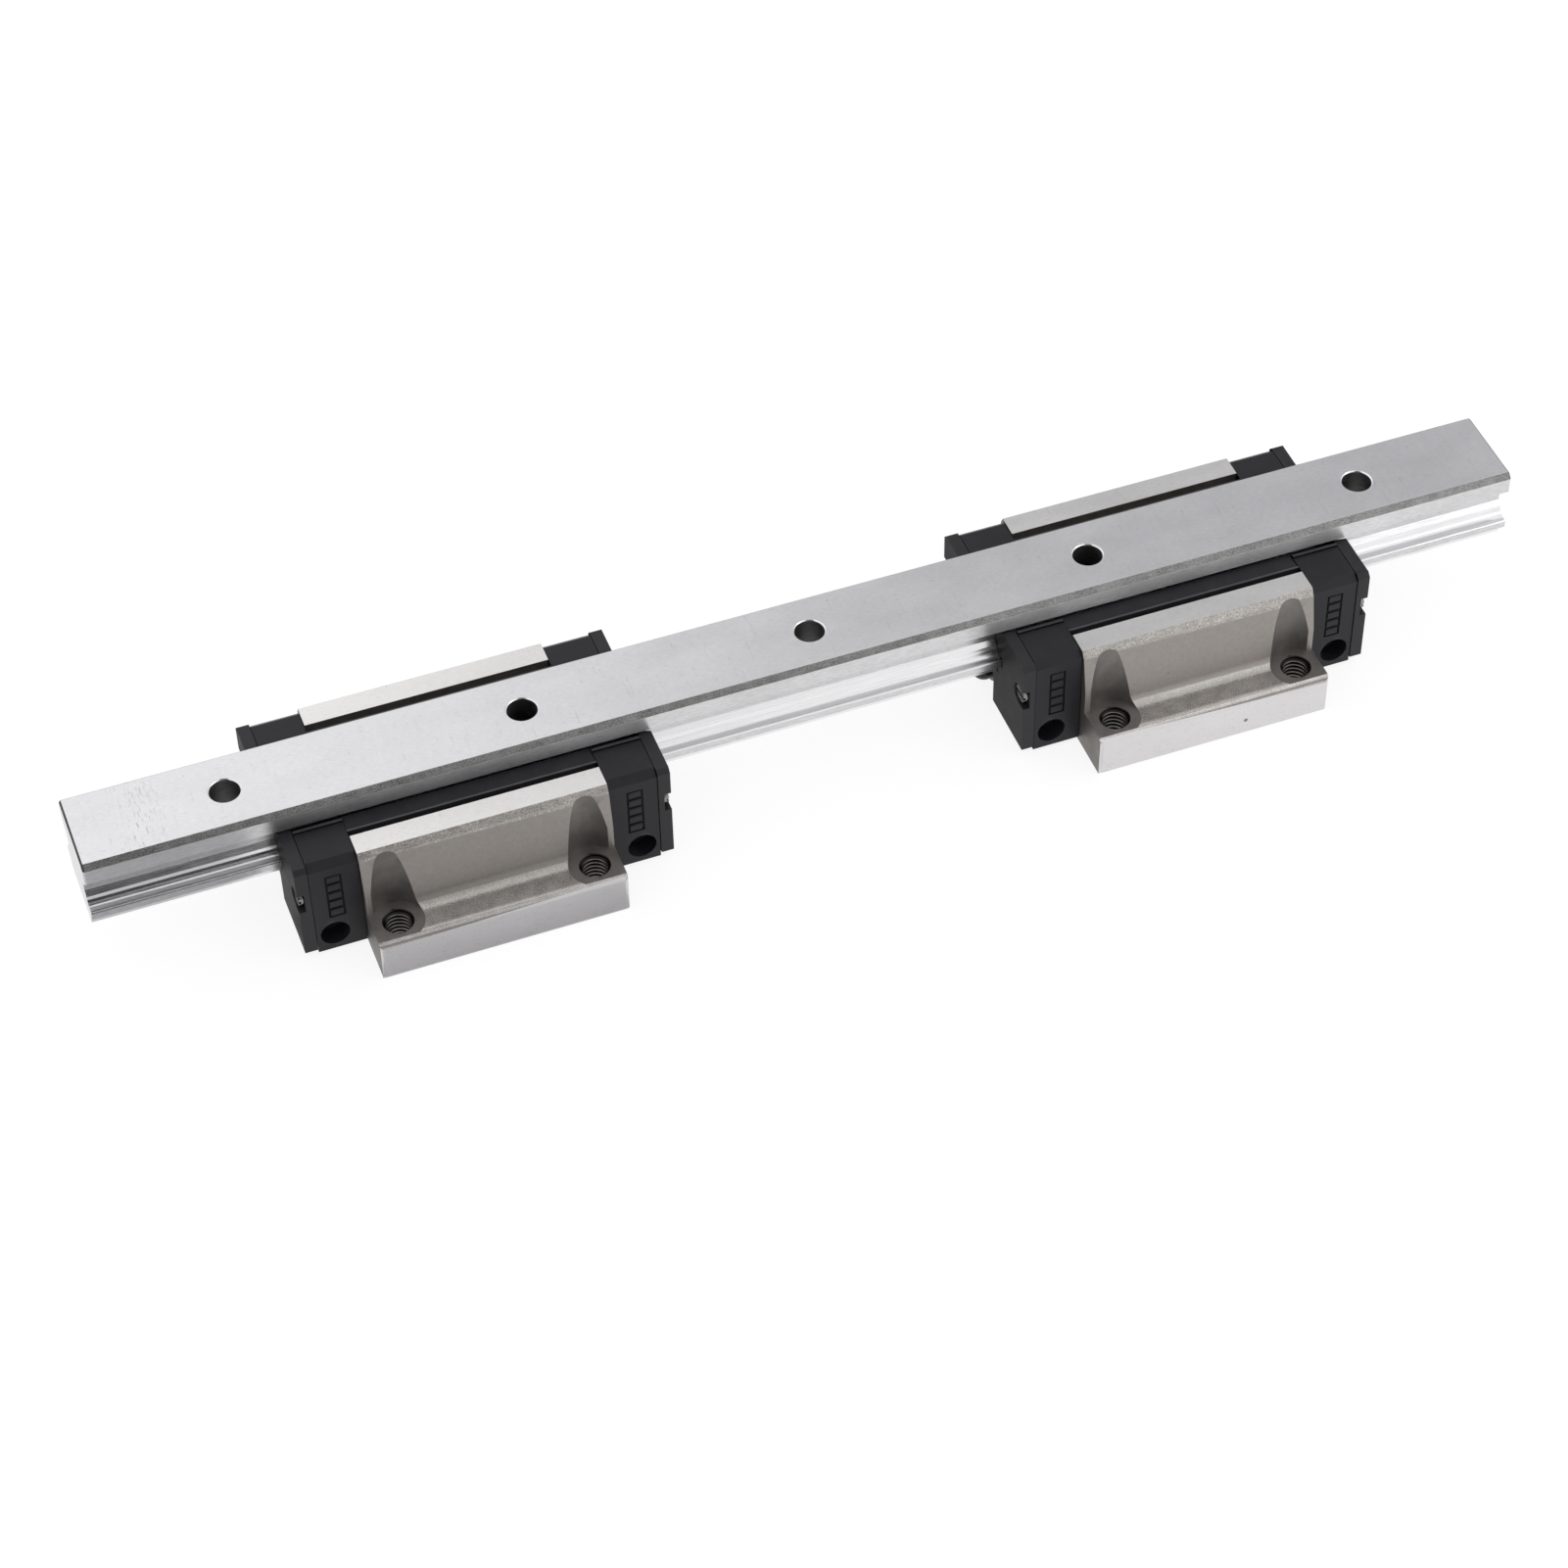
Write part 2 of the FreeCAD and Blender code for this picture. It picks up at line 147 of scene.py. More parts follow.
# Moulded plastics and rubber: colour, roughness, depth of the grain and shine
PLASTICS = {
    "cap": ((0.0115, 0.0115, 0.0140), 0.46, 0.008, 0.26),
    "seal": ((0.0150, 0.0150, 0.0170), 0.44, 0.010, 0.28),
    "label": ((0.0040, 0.0040, 0.0046), 0.50, 0.004, 0.12),
    # Near black in the joints, and on the step beside the caps' ridges as painted shade
    "seam_and_step_shade": ((0.0015, 0.0015, 0.0016), 0.80, 0.002, 0.02),
    # The ridge's lighter colour is a painted highlight.
    "ridge": ((0.0300, 0.0300, 0.0340), 0.44, 0.006, 0.34),
    "seal_end": ((0.0110, 0.0110, 0.0110), 0.56, 0.012, 0.14),
    "strip": ((0.0150, 0.0152, 0.0180), 0.42, 0.006, 0.26),
    # The lip's lighter colour is a painted highlight.
    "strip_lip_highlight": ((0.0500, 0.0500, 0.0540), 0.40, 0.006, 0.40),
    "plug": ((0.0060, 0.0060, 0.0065), 0.32, 0.006, 0.30),
}


def near(value, target, tolerance=0.05):
    return abs(value - target) < tolerance


def sloped(part):
    """Whether a face with this part of its normal along an axis leans to that axis."""
    return 0.3 < abs(part) < 0.95


def grey(value):
    return (value, value, value)


class Graph:
    """A material with short calls that add and join its nodes; places are in millimetres."""

    def __init__(self, name, **sockets):
        self.material = bpy.data.materials.new(name)
        self.material.use_nodes = True
        self.tree = self.material.node_tree
        self.shader = self.tree.nodes["Principled BSDF"]
        for socket, value in sockets.items():
            self.shader.inputs[socket.replace("_", " ")].default_value = value
        coordinates = self.tree.nodes.new("ShaderNodeTexCoord").outputs["Object"]
        self.place = self.vector("SCALE", coordinates, scale=1 / MM)

    def link(self, value, socket):
        """Join another node's output to the socket, or give it a plain value."""
        if isinstance(value, bpy.types.NodeSocket):
            self.tree.links.new(value, socket)
        else:
            socket.default_value = value

    def vector(self, operation, a, b=None, scale=None):
        node = self.tree.nodes.new("ShaderNodeVectorMath")
        node.operation = operation
        self.link(a, node.inputs[0])
        if b is not None:
            self.link(b, node.inputs[1])
        if scale is not None:
            node.inputs["Scale"].default_value = scale
        return node.outputs["Vector"]

    def noise(self, size, detail, roughness=0.55, stretch=(1, 1, 1), shift=0.0):
        """Noise with features of about this size in millimetres, stretched along the axes."""
        node = self.tree.nodes.new("ShaderNodeTexNoise")
        factors = tuple(1 / (size * s) for s in stretch)
        place = self.vector("MULTIPLY", self.place, factors)
        if shift:
            place = self.vector("ADD", place, (shift, shift, shift))
        self.link(place, node.inputs["Vector"])
        node.inputs["Scale"].default_value = 1.0
        node.inputs["Detail"].default_value = detail
        node.inputs["Roughness"].default_value = roughness
        return node.outputs["Fac"]

    def ramp(self, factor, *stops):
        """Colour ramp; a stop is (place, value) with a grey value."""
        node = self.tree.nodes.new("ShaderNodeValToRGB")
        self.link(factor, node.inputs["Fac"])
        elements = node.color_ramp.elements
        while len(elements) < len(stops):
            elements.new(0.5)
        for element, (place, value) in zip(elements, stops):
            element.position = place
            element.color = (*grey(value), 1.0)
        return node.outputs["Color"]

    def mix(self, factor, a, b):
        """Colour that goes from a to b as the factor goes from 0 to 1."""
        node = self.tree.nodes.new("ShaderNodeMix")
        node.data_type = "RGBA"
        self.link(factor, node.inputs["Factor"])
        # Inputs 6 and 7 and output 2 are the node's colours
        for value, index in ((a, 6), (b, 7)):
            if not isinstance(value, bpy.types.NodeSocket):
                value = (*value, 1.0)
            self.link(value, node.inputs[index])
        return node.outputs[2]

    def math(self, operation, a, b=0.0, clamp=False):
        node = self.tree.nodes.new("ShaderNodeMath")
        node.operation = operation
        node.use_clamp = clamp
        self.link(a, node.inputs[0])
        self.link(b, node.inputs[1])
        return node.outputs[0]

    def blend(self, a, share_a, b, share_b):
        """Sum of two values, each times its share."""
        part_a = self.math("MULTIPLY", a, share_a)
        part_b = self.math("MULTIPLY", b, share_b)
        return self.math("ADD", part_a, part_b)

    def away_from(self, axis, place):
        """Distance from a place on one axis."""
        node = self.tree.nodes.new("ShaderNodeSeparateXYZ")
        self.link(self.place, node.inputs[0])
        return self.math("ABSOLUTE", self.math("SUBTRACT", node.outputs[axis], place))

    def distance(self, point, weights=(1, 1, 1)):
        """Distance from a point; a weight of 0 leaves that axis out."""
        node = self.tree.nodes.new("ShaderNodeVectorMath")
        node.operation = "LENGTH"
        away = self.vector("SUBTRACT", self.place, point)
        self.link(self.vector("MULTIPLY", away, weights), node.inputs[0])
        return node.outputs["Value"]

    def bump(self, height, depth, under=None):
        """Bump of this depth in millimetres for a height from 0 to 1."""
        node = self.tree.nodes.new("ShaderNodeBump")
        node.inputs["Strength"].default_value = 1.0
        node.inputs["Distance"].default_value = depth * MM
        self.link(height, node.inputs["Height"])
        if under is not None:
            self.link(under, node.inputs["Normal"])
        return node.outputs["Normal"]

    def finish(self, colour, roughness=None, normal=None):
        """Join these to the shader, and return the material."""
        self.link(colour, self.shader.inputs["Base Color"])
        if roughness is not None:
            self.link(roughness, self.shader.inputs["Roughness"])
        if normal is not None:
            self.link(normal, self.shader.inputs["Normal"])
        return self.material


def ground_steel(name, light, dark, rough, stretch=(9, 1, 1), worn=False, painted_dent_shade=False,
                 spread=0.0):
    """Ground face: fine short lines along the grinding, faint blotches and a few cross scratches.

    Spread draws its reflections out across the grinding lines.
    """
    g = Graph(name, Metallic=1.0, Anisotropic=spread)
    if spread:
        across = g.tree.nodes.new("ShaderNodeCombineXYZ")
        across.inputs["Y"].default_value = 1.0
        across.inputs["Z"].default_value = 1.0
        g.link(across.outputs[0], g.shader.inputs["Tangent"])
    grain = g.noise(0.15, 2.0, 0.6, stretch)
    blotch = g.noise(7.0, 4.0, 0.6, (2.5, 1, 1))
    marks = g.ramp(g.noise(0.34, 1.0, 0.4, (5, 1, 1), shift=17.0), (0.68, 0.0), (0.76, 1.0))
    scratch_field = g.noise(1.1, 1.0, 0.4, (0.5, 8, 1), shift=7.0)
    scratch = g.ramp(scratch_field, (0.715, 0.0), (0.735, 1.0), (0.75, 0.0))
    tone = g.blend(grain, 0.6, blotch, 0.4)
    colour = g.mix(g.ramp(tone, (0.36, 0.0), (0.62, 1.0)), dark, light)
    colour = g.mix(g.math("MULTIPLY", marks, 0.30), colour, (0.38, 0.38, 0.39))
    colour = g.mix(g.math("MULTIPLY", scratch, 0.40), colour, (0.28, 0.28, 0.29))
    if worn:
        colour = g.mix(worn_patch(g), colour, (0.30, 0.30, 0.31))
    # A dark spot painted where the dent is: painted shade of the dent.
    if painted_dent_shade:
        away = g.math("DIVIDE", g.distance(DENT_AT), 1.0, clamp=True)
        colour = g.mix(g.ramp(away, (0.36, 0.85), (0.52, 0.0)), colour, (0.14, 0.13, 0.125))
    roughness = g.math("ADD", g.math("MULTIPLY", blotch, 0.12), rough - 0.06)
    return g.finish(colour, roughness, g.bump(grain, 0.006))


def worn_patch(g):
    """Many short cross strokes, close together near one place of the rail."""
    away = g.math("DIVIDE", g.away_from("X", WORN_X), WORN_REACH, clamp=True)
    inside = g.ramp(away, (0.15, 1.0), (0.85, 0.0))
    strokes = g.ramp(g.noise(0.42, 2.0, 0.5, (0.5, 5, 1), shift=31.0), (0.60, 0.0), (0.68, 0.65))
    return g.math("MULTIPLY", inside, strokes)


def forged_steel(name, light, dark, depth, grain=0.26, rough=0.42, sparkle=0.0, line_at=None):
    """Rough skin as forged and blasted: pits and grains that catch the light, and painted glints
    (painted highlights) on some grains.

    A thin dark line can run round it at one height.
    """
    g = Graph(name, Metallic=0.9)
    coarse = g.noise(grain, 2.0, 0.55)
    fine = g.noise(grain * 0.5, 1.0, 0.5, shift=11.0)
    patch = g.noise(2.6, 3.0, 0.55, shift=3.0)
    tone = g.blend(coarse, 0.6, fine, 0.4)
    tone = g.math("ADD", tone, g.math("MULTIPLY", g.math("SUBTRACT", patch, 0.5), 0.22))
    colour = g.mix(g.ramp(tone, (0.38, 0.0), (0.62, 1.0)), dark, light)
    # Sparkle paints highlights: pale glints mixed into the colour on scattered grains.
    if sparkle:
        glint = g.ramp(g.noise(grain * 0.8, 1.0, 0.4, shift=23.0), (0.60, 0.0), (0.70, 1.0))
        colour = g.mix(g.math("MULTIPLY", glint, sparkle), colour, (0.88, 0.87, 0.85))
    if line_at is not None:
        line = g.ramp(g.away_from("Z", line_at), (0.15, 0.6), (0.35, 0.0))
        colour = g.mix(line, colour, (0.10, 0.093, 0.088))
    normal = g.bump(fine, depth * 0.4, g.bump(coarse, depth))
    return g.finish(colour, g.ramp(coarse, (0.35, rough - 0.05), (0.65, rough + 0.08)), normal)


def blasted_steel(name, light, dark):
    """Forged wall, blasted smooth: warm grey with a soft fine grain and a few dark specks."""
    g = Graph(name, Metallic=0.9)
    fine = g.noise(0.20, 2.0, 0.6)
    mottled = g.noise(0.9, 3.0, 0.6, shift=5.0)
    patch = g.noise(8.0, 2.0, 0.5, shift=2.0)
    tone = g.blend(mottled, 0.5, fine, 0.5)
    colour = g.mix(g.ramp(tone, (0.35, 0.0), (0.65, 1.0)), dark, light)
    colour = g.mix(g.math("MULTIPLY", patch, 0.25), colour, (0.31, 0.285, 0.26))
    speck = g.ramp(g.noise(0.5, 1.0, 0.5, shift=19.0), (0.17, 1.0), (0.215, 0.0))
    colour = g.mix(g.math("MULTIPLY", speck, 0.7), colour, (0.10, 0.09, 0.08))
    normal = g.bump(mottled, 0.02, g.bump(fine, 0.012))
    return g.finish(colour, g.ramp(fine, (0.3, 0.48), (0.7, 0.56)), normal)


def milled_steel(name, light, dark, rough=0.40):
    """Darker milled face with faint upright cutter marks."""
    g = Graph(name, Metallic=1.0)
    marks = g.noise(0.5, 2.0, 0.5, (1, 1, 20))
    cloud = g.noise(2.6, 3.0, 0.55, shift=4.0)
    colour = g.mix(g.ramp(cloud, (0.3, 0.0), (0.7, 1.0)), dark, light)
    roughness = g.ramp(marks, (0.3, rough - 0.02), (0.7, rough + 0.02))
    return g.finish(colour, roughness, g.bump(marks, 0.0012))


def raceway_steel(name):
    """Hardened and ground raceway: bright, with fine lines along the rail."""
    g = Graph(name, Metallic=1.0)
    lines = g.noise(0.12, 2.0, 0.6, (60, 1, 1))
    colour = g.mix(g.ramp(lines, (0.3, 0.0), (0.7, 1.0)), (0.74, 0.74, 0.75), (0.92, 0.92, 0.93))
    return g.finish(colour, g.ramp(lines, (0.3, 0.16), (0.7, 0.26)), g.bump(lines, 0.004))


def bored_steel(name):
    """Drilled hole: rings round the wall, and a darker tone that is painted shade inside the hole.
    """
    g = Graph(name, Metallic=1.0)
    rings = g.noise(0.32, 2.0, 0.6, (9, 9, 1))
    tone = g.ramp(rings, (0.35, 0.0), (0.65, 1.0))
    colour = g.mix(tone, (0.225, 0.22, 0.22), (0.325, 0.32, 0.32))
    return g.finish(colour, g.ramp(rings, (0.3, 0.38), (0.7, 0.48)), g.bump(rings, 0.015))


def threaded_steel(name):
    """Thread ridge about its own axis: grey worn crests over roots painted nearly black as painted
    shade.
    """
    g = Graph(name, Metallic=1.0)
    depth = g.math("SUBTRACT", g.distance((0, 0, 0), (1, 1, 0)), THREAD_R - THREAD_DEPTH)
    depth = g.math("DIVIDE", depth, THREAD_DEPTH, clamp=True)
    worn = g.noise(0.3, 2.0, 0.5, shift=6.0)
    crest = g.mix(worn, (0.17, 0.16, 0.15), (0.26, 0.25, 0.235))
    # The roots are painted nearly black: painted shade deep between the thread's turns.
    colour = g.mix(g.ramp(depth, (0.05, 0.0), (0.30, 1.0)), crest, (0.02, 0.018, 0.016))
    return g.finish(colour, g.ramp(worn, (0.3, 0.26), (0.7, 0.36)))


def moulded_plastic(name, colour, rough, grain, shine):
    """Black moulded plastic: fine grain, faint clouds and a soft sheen."""
    g = Graph(name, Specular_IOR_Level=shine)
    fine = g.noise(0.14, 2.0, 0.6)
    cloud = g.noise(4.0, 3.0, 0.55, shift=8.0)
    lighter = tuple(part * 1.5 for part in colour)
    tone = g.mix(g.ramp(cloud, (0.3, 0.0), (0.75, 1.0)), colour, lighter)
    roughness = g.math("ADD", g.math("MULTIPLY", cloud, 0.14), rough - 0.07)
    return g.finish(tone, roughness, g.bump(fine, grain))


def floor_material():
    """Pale floor that shows white to the camera and in reflections, and keeps a soft shadow."""
    g = Graph("floor_white", Roughness=0.9, Specular_IOR_Level=0.0)
    g.finish(g.mix(g.noise(900.0, 1.0), grey(0.80), grey(0.82)))
    nodes = g.tree.nodes
    veil = nodes.new("ShaderNodeBsdfDiffuse")
    veil.inputs["Color"].default_value = (*grey(SHADOW_SHARE), 1)
    glow = nodes.new("ShaderNodeEmission")
    glow.inputs["Strength"].default_value = FLOOR_GLOW
    white = nodes.new("ShaderNodeAddShader")
    g.link(veil.outputs[0], white.inputs[0])
    g.link(glow.outputs[0], white.inputs[1])
    mix = nodes.new("ShaderNodeMixShader")
    g.link(seen_directly(g.tree), mix.inputs["Fac"])
    g.link(g.shader.outputs[0], mix.inputs[1])
    g.link(white.outputs[0], mix.inputs[2])
    g.link(mix.outputs[0], nodes["Material Output"].inputs["Surface"])
    return g.material


def seen_directly(tree):
    """Socket that is 1 for rays from the camera, from reflections and through clear things."""
    paths = tree.nodes.new("ShaderNodeLightPath")
    total = paths.outputs["Is Camera Ray"]
    for other in ("Is Glossy Ray", "Is Transmission Ray"):
        either = tree.nodes.new("ShaderNodeMath")
        either.operation = "MAXIMUM"
        tree.links.new(total, either.inputs[0])
        tree.links.new(paths.outputs[other], either.inputs[1])
        total = either.outputs[0]
    return total


def card_material(name, dark, light):
    """Matt cloth or paper of the cards round the guide."""
    g = Graph(name, Roughness=0.95, Specular_IOR_Level=0.0)
    return g.finish(g.mix(g.noise(3.0, 2.0), grey(dark), grey(light)))


MATERIALS = {
    "rail_base": ground_steel("rail_base", (0.65, 0.65, 0.665), (0.55, 0.55, 0.565), 0.31,
                              worn=True),
    "rail_side": ground_steel("rail_side", (0.784, 0.784, 0.795), (0.594, 0.594, 0.599), 0.34,
                              spread=0.95),
    "rail_bevel": forged_steel("rail_bevel", (0.36, 0.355, 0.35), (0.095, 0.093, 0.092),
                               depth=0.035, grain=0.24),
    "rail_edge": milled_steel("rail_edge", (0.075, 0.073, 0.072), (0.045, 0.044, 0.043)),
    "raceway": raceway_steel("raceway"),
    "bore": bored_steel("bore"),
    "block_ground": ground_steel("block_ground", (0.70, 0.69, 0.685), (0.59, 0.58, 0.575), 0.33),
    "block_side": ground_steel("block_side", (0.74, 0.725, 0.73), (0.66, 0.645, 0.65), 0.42,
                               stretch=(1, 1, 5), painted_dent_shade=True),
    "block_corner": forged_steel("block_corner", (0.55, 0.52, 0.49), (0.27, 0.25, 0.232),
                                 depth=0.05, grain=0.30, sparkle=0.6),
    "block_fillet": forged_steel("block_fillet", (0.58, 0.55, 0.52), (0.37, 0.35, 0.33),
                                 depth=0.03, sparkle=0.4),
    "block_valley": forged_steel("block_valley", (0.60, 0.57, 0.545), (0.24, 0.225, 0.215),
                                 depth=0.03, rough=0.45),
    "block_band": forged_steel("block_band", (0.72, 0.69, 0.665), (0.43, 0.40, 0.38),
                               depth=0.035, rough=0.45, sparkle=0.4, line_at=BAND_LINE),
    "block_wall": blasted_steel("block_wall", (0.395, 0.368, 0.345), (0.330, 0.307, 0.289)),
    "block_milled": milled_steel("block_milled", (0.270, 0.254, 0.240), (0.215, 0.203, 0.191),
                                 0.54),
    # The threaded holes' walls are painted nearly black: painted shade inside the holes.
    "thread_bore": milled_steel("thread_bore", (0.05, 0.046, 0.042), (0.03, 0.028, 0.026)),
    "thread": threaded_steel("thread"),
    # The screws' lighter steel is a painted highlight on their edges.
    "screw": milled_steel("screw", (0.34, 0.33, 0.32), (0.21, 0.20, 0.195), 0.26),
    "screw_face": milled_steel("screw_face", (0.05, 0.049, 0.048), (0.025, 0.024, 0.023), 0.34),
}
for plastic, looks in PLASTICS.items():
    MATERIALS[plastic] = moulded_plastic(plastic, *looks)


def add_object(name, data):
    thing = bpy.data.objects.new(name, data)
    bpy.context.scene.collection.objects.link(thing)
    return thing


def draw_in(model, middle, planes):
    """Draw the faces on these planes across the rail towards the middle, so that joints show."""
    for vertex in model.verts:
        for plane in planes:
            if near(vertex.co.x / MM, plane, 0.01):
                vertex.co.x += math.copysign(JOINT_GAP, middle - plane) * MM


def evaluated(piece):
    """The piece's mesh as its modifiers make it, kept as its own mesh."""
    depsgraph = bpy.context.evaluated_depsgraph_get()
    mesh = bpy.data.meshes.new_from_object(piece.evaluated_get(depsgraph))
    piece.modifiers.clear()
    piece.data = mesh
    return mesh


def round_walls(mesh, holes, radius):
    """Hollow upright walls about these holes' axes get the normals of the true cylinder."""
    normals = [corner.vector.copy() for corner in mesh.corner_normals]
    for face in mesh.polygons:
        for x, y in holes:
            inward = (Vector((x, y, 0)) - face.center / MM).xy
            faces_axis = face.normal.xy.dot(inward) >= 0.97 * radius
            if not near(inward.length, radius, 0.1) or not faces_axis:
                continue
            for corner in face.loop_indices:
                at = mesh.vertices[mesh.loops[corner].vertex_index].co / MM
                normals[corner] = Vector((x - at.x, y - at.y, 0)).normalized()
    mesh.normals_split_custom_set(normals)


def dress(node, name, body, classify, width, joints=None):
    """A copy of a CAD node that stands for it, with broken edges and a finish for each face.

    Joints are the place to draw in towards, and the planes that are drawn in.
    """
    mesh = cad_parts[node].data.copy()
    mesh.name = name
    mesh.materials.clear()
    model = bmesh.new()
    model.from_mesh(mesh)
    bmesh.ops.remove_doubles(model, verts=model.verts, dist=MERGE * MM)
    bmesh.ops.dissolve_degenerate(model, dist=MERGE * MM, edges=model.edges)
    if joints:
        draw_in(model, *joints)
    finishes = []
    for face in model.faces:
        finish = classify(face.calc_center_median() / MM, face.normal)
        if finish not in finishes:
            finishes.append(finish)
        face.material_index = finishes.index(finish)
    model.to_mesh(mesh)
    model.free()
    for finish in finishes:
        mesh.materials.append(MATERIALS[finish])
    piece = add_object(name, mesh)
    bevel = piece.modifiers.new("broken_edges", "BEVEL")
    bevel.width = width * MM
    bevel.segments = 2
    bevel.limit_method = "ANGLE"
    bevel.angle_limit = math.radians(BREAK_ANGLE)
    bevel.harden_normals = False
    bevel.miter_outer = "MITER_ARC"
    shaped = evaluated(piece)
    shaped.shade_smooth()
    shaped.set_sharp_from_angle(angle=math.radians(SMOOTH_ANGLE))
    weighted = piece.modifiers.new("flat_faces", "WEIGHTED_NORMAL")
    weighted.keep_sharp = True
    weighted.mode = "FACE_AREA_WITH_ANGLE"
    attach(piece, body)
    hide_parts(node)
    return piece


def rail_finish(centre, normal):
    along = (centre.x + HOLE_PITCH / 2) % HOLE_PITCH - HOLE_PITCH / 2
    if math.hypot(along, centre.y) < COUNTERBORE_R + 0.1 and abs(normal.z) < SQUARE:
        # The mouth's chamfer is machined steel, and its bright raceway steel also paints the
        # highlight round the rim; the walls get the darker bore steel.
        return "raceway" if normal.z > 0.5 else "bore"
    if near(centre.z, GUIDE_HEIGHT) and normal.z > SQUARE:
        return "rail_base"
    if centre.z > GUIDE_HEIGHT - RAIL_BEVEL:
        if sloped(normal.x):
            return "rail_edge"
        if sloped(normal.y):
            return "rail_bevel"
    if centre.z < HEAD_TOP and 0.5 < normal.z < SQUARE:
        return "raceway"
    for row_y, row_z in RACE_ROWS:
        if near(math.hypot(abs(centre.y) - row_y, centre.z - row_z), RACE_R, 0.12):
            return "raceway"
    return "rail_side"


def block_finish(middle):
    """Finish of each face of the block of the carriage with this middle."""
    def finish(centre, normal):
        x = abs(centre.x - middle)
        y = abs(centre.y)
        z = centre.z
        from_hole = math.hypot(x - MOUNT_X, y - MOUNT_Y)
        if from_hole < THREAD_R + 0.3 and z < SPOT_Z:
            return "thread_bore"
        if near(x, BLOCK_END, 0.1) or y < GROUND_OUTER and not near(z, BLOCK_TOP) and z > 0.5:
            return "block_milled"
        if near(z, BLOCK_TOP) or z < 0.5:
            return "block_ground"
        if near(y, FLANGE_HALF) or z < SIDE_TOP:
            return "block_side"
        if near(z, SPOT_Z, 0.02) or near(from_hole, SPOT_R, 0.15):
            return "block_milled"
        if near(y, RELIEF_HALF) and abs(normal.y) > SQUARE:
            return "block_wall"
        if y > BAND_INNER:
            return "block_band"
        if near(z, FLANGE_TOP):
            return "block_valley"
        if z < FILLET_TOP:
            return "block_fillet"
        if z > CORNER_LOW:
            return "block_corner"
        return "block_wall"
    return finish


def cap_finish(middle):
    """Cap plastic: dark in joints and label field, near black on the step beside the ridge as
    painted shade, and lighter on the ridge as a painted highlight.
    """
    def finish(centre, normal):
        x = abs(centre.x - middle)
        y = abs(centre.y)
        if abs(normal.x) > SQUARE and not BLOCK_END + JOINT_GAP < x < CAP_END - JOINT_GAP:
            return "seam_and_step_shade"
        # The step face beside the ridge is painted near black: painted shade under the ridge's
        # edge.
        if near(y, RIDGE_OUTER) and centre.z > PANEL_TOP:
            return "seam_and_step_shade"
        if near(y, LABEL_FLOOR) and abs(normal.y) > SQUARE:
            return "label"
        # The ridge's top is painted lighter: a painted highlight.
        if centre.z > PANEL_TOP + 0.1:
            return "ridge"
        return "cap"
    return finish


def seal_finish(middle):
    """Seal rubber: dark in the joint, matt on the moulded end face."""
    def finish(centre, normal):
        if abs(normal.x) > SQUARE:
            in_joint = abs(centre.x - middle) < CAP_END + 2 * JOINT_GAP
            return "seam_and_step_shade" if in_joint else "seal_end"
        return "seal"
    return finish


def strip_finish(centre, normal):
    """The top of the strip's raised lip is painted lighter than the rest: a painted highlight along
    the lip.
    """
    on_lip = STRIP_LIP - 0.05 < abs(centre.y) < STRIP_OUTER + 0.05 and centre.z > STRIP_TOP
    return "strip_lip_highlight" if on_lip and normal.z > 0.5 else "strip"


def screw_finish(centre, normal):
    """Dark oiled heads; the rest of each screw is painted lighter, a painted highlight on the
    edges.
    """
    return "screw_face" if abs(normal.x) > SQUARE else "screw"


def plug_finish(centre, normal):
    return "plug"


def thread_mesh(name):
    """Ridge of one right-handed inner thread, standing on the hole's wall, as one closed strip."""
    total = int((THREAD_HIGH - THREAD_LOW) / THREAD_PITCH * THREAD_STEPS)
    half_turn = THREAD_STEPS * 0.5
    profile = ((RIDGE_SINK, -RIDGE_FOOT), (-THREAD_DEPTH, -RIDGE_CREST),
               (-THREAD_DEPTH, RIDGE_CREST), (RIDGE_SINK, RIDGE_FOOT))
    vertices = []
    faces = []
    for i in range(total + 1):
        angle = 2 * math.pi * i / THREAD_STEPS
        z = THREAD_LOW + THREAD_PITCH * i / THREAD_STEPS
        fade = min(1.0, i / half_turn, (total - i) / half_turn)
        for out, rise in profile:
            r = THREAD_R + (out if out > 0 else out * fade)
            vertices.append((r * math.cos(angle) * MM, r * math.sin(angle) * MM,
                             (z + rise * THREAD_PITCH) * MM))
    for i in range(total):
        a = 4 * i
        b = a + 4
        for k in range(4):
            n = (k + 1) % 4
            faces.append((a + k, b + k, b + n, a + n))
    faces.append((3, 2, 1, 0))
    faces.append(tuple(4 * total + k for k in range(4)))
    mesh = bpy.data.meshes.new(name)
    mesh.from_pydata(vertices, [], faces)
    mesh.materials.append(MATERIALS["thread"])
    mesh.shade_smooth()
    mesh.set_sharp_from_angle(angle=math.radians(RIDGE_SMOOTH_ANGLE))
    return mesh


def add_threads(carriage, holes):
    """A thread ridge in each of the block's holes."""
    mesh = thread_mesh("thread_ridge")
    for number, (x, y) in enumerate(holes, 1):
        piece = add_object(f"{carriage}_thread_{number}", mesh.copy())
        piece.location = (x * MM, y * MM, 0)
        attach(piece, carriage)


def make_rail():
    dress("guide_rail", "rail", "rail", rail_finish, EDGE["rail"])


